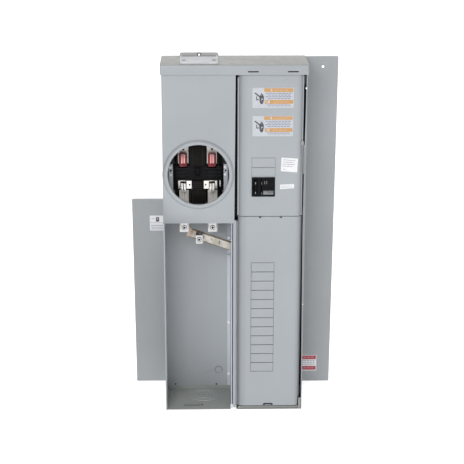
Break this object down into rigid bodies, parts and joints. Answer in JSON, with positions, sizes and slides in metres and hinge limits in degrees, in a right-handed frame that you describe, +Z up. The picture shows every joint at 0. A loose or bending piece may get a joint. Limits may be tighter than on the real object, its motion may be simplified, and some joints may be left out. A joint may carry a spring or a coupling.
{
  "type": "meter-main load center",
  "caption": "Outdoor meter socket and load center in one grey steel box: ring-type socket, open cable section, main breaker, deadfronts, and lift-off covers set down behind.",
  "frame": {"origin": "middle of the enclosure's underside", "axes": "+X to the right seen from the front, +Y towards the wall behind, +Z up"},
  "size_m": [0.5418, 0.2174, 0.939],
  "materials": {
    "painted_steel": "light grey powder coat, satin",
    "zinc_steel": "bright zinc plate",
    "tin_plate": "dull tin plate over aluminium",
    "aluminium": "bare machined aluminium",
    "strap_metal": "tin plate over copper, copper showing at one end",
    "black_plastic": "moulded phenolic, satin",
    "red_plastic": "moulded, semi-gloss"
  },
  "bodies": {
    "box": {"back_box": "painted_steel", "bottom_pan": "painted_steel", "bracket_screw_left_1": "zinc_steel", "bracket_screw_left_2": "zinc_steel", "bracket_screw_right_1": "zinc_steel", "bracket_screw_right_2": "zinc_steel", "breaker_rail": "zinc_steel", "bus_bar_a": "tin_plate", "bus_bar_b": "tin_plate", "bus_insulator": "black_plastic", "deadfront_strap_lower": "zinc_steel", "deadfront_strap_middle": "zinc_steel", "deadfront_strap_upper": "zinc_steel", "feed_bar_standoff": "black_plastic", "front_post": "painted_steel", "ground_bar": "aluminium", "hanger_bracket": "painted_steel", "hub_plate": "zinc_steel", "hub_plate_screw_1": "zinc_steel", "hub_plate_screw_2": "zinc_steel", "interior_pan": "zinc_steel", "jaw_guide_left": "red_plastic", "jaw_guide_right": "red_plastic", "line_bar_left": "tin_plate", "line_bar_right": "tin_plate", "line_lug_left": "aluminium", "line_lug_right": "aluminium", "line_lug_screw_left": "zinc_steel", "line_lug_screw_right": "zinc_steel", "load_bar_left": "tin_plate", "load_bar_right": "tin_plate", "lower_jaw_left": "tin_plate", "lower_jaw_right": "tin_plate", "main_breaker": "black_plastic", "neutral_bar": "aluminium", "neutral_lug": "aluminium", "neutral_lug_screw": "zinc_steel", "neutral_standoff_lower": "black_plastic", "neutral_standoff_upper": "black_plastic", "neutral_strap": "strap_metal", "partition": "painted_steel", "partition_screw_1": "zinc_steel", "partition_screw_2": "zinc_steel", "partition_screw_3": "zinc_steel", "socket_base": "black_plastic", "socket_bracket_left": "painted_steel", "socket_bracket_right": "painted_steel", "top_cap": "painted_steel", "top_header": "painted_steel", "upper_jaw_left": "tin_plate", "upper_jaw_right": "tin_plate"},
    "meter_cover": {"meter_cover": "painted_steel"},
    "upper_deadfront": {"upper_deadfront": "painted_steel", "deadfront_catch": "zinc_steel"},
    "lower_deadfront": {"lower_deadfront": "painted_steel"},
    "main_handle": {"main_breaker_handle": "black_plastic"},
    "pull_cover": {"pull_cover": "painted_steel"},
    "load_cover": {"load_cover": "painted_steel"}
  },
  "joints": [
    {"name": "meter_cover_off", "type": "slide", "parent": "box", "child": "meter_cover", "axis": [0, -1, 0], "range_m": [0, 0.06]},
    {"name": "upper_deadfront_off", "type": "slide", "parent": "box", "child": "upper_deadfront", "axis": [0, -1, 0], "range_m": [0, 0.06]},
    {"name": "lower_deadfront_off", "type": "slide", "parent": "box", "child": "lower_deadfront", "axis": [0, -1, 0], "range_m": [0, 0.06]},
    {"name": "main_handle_turn", "type": "hinge", "parent": "box", "child": "main_handle", "pos_m": [0.0605, -0.0633, 0.6182], "axis": [0, 0, 1], "range_deg": [0, 40]},
    {"name": "pull_cover_off", "type": "slide", "parent": "box", "child": "pull_cover", "axis": [-1, 0, 0], "range_m": [0, 0.12]},
    {"name": "load_cover_off", "type": "slide", "parent": "box", "child": "load_cover", "axis": [1, 0, 0], "range_m": [0, 0.12]}
  ]
}
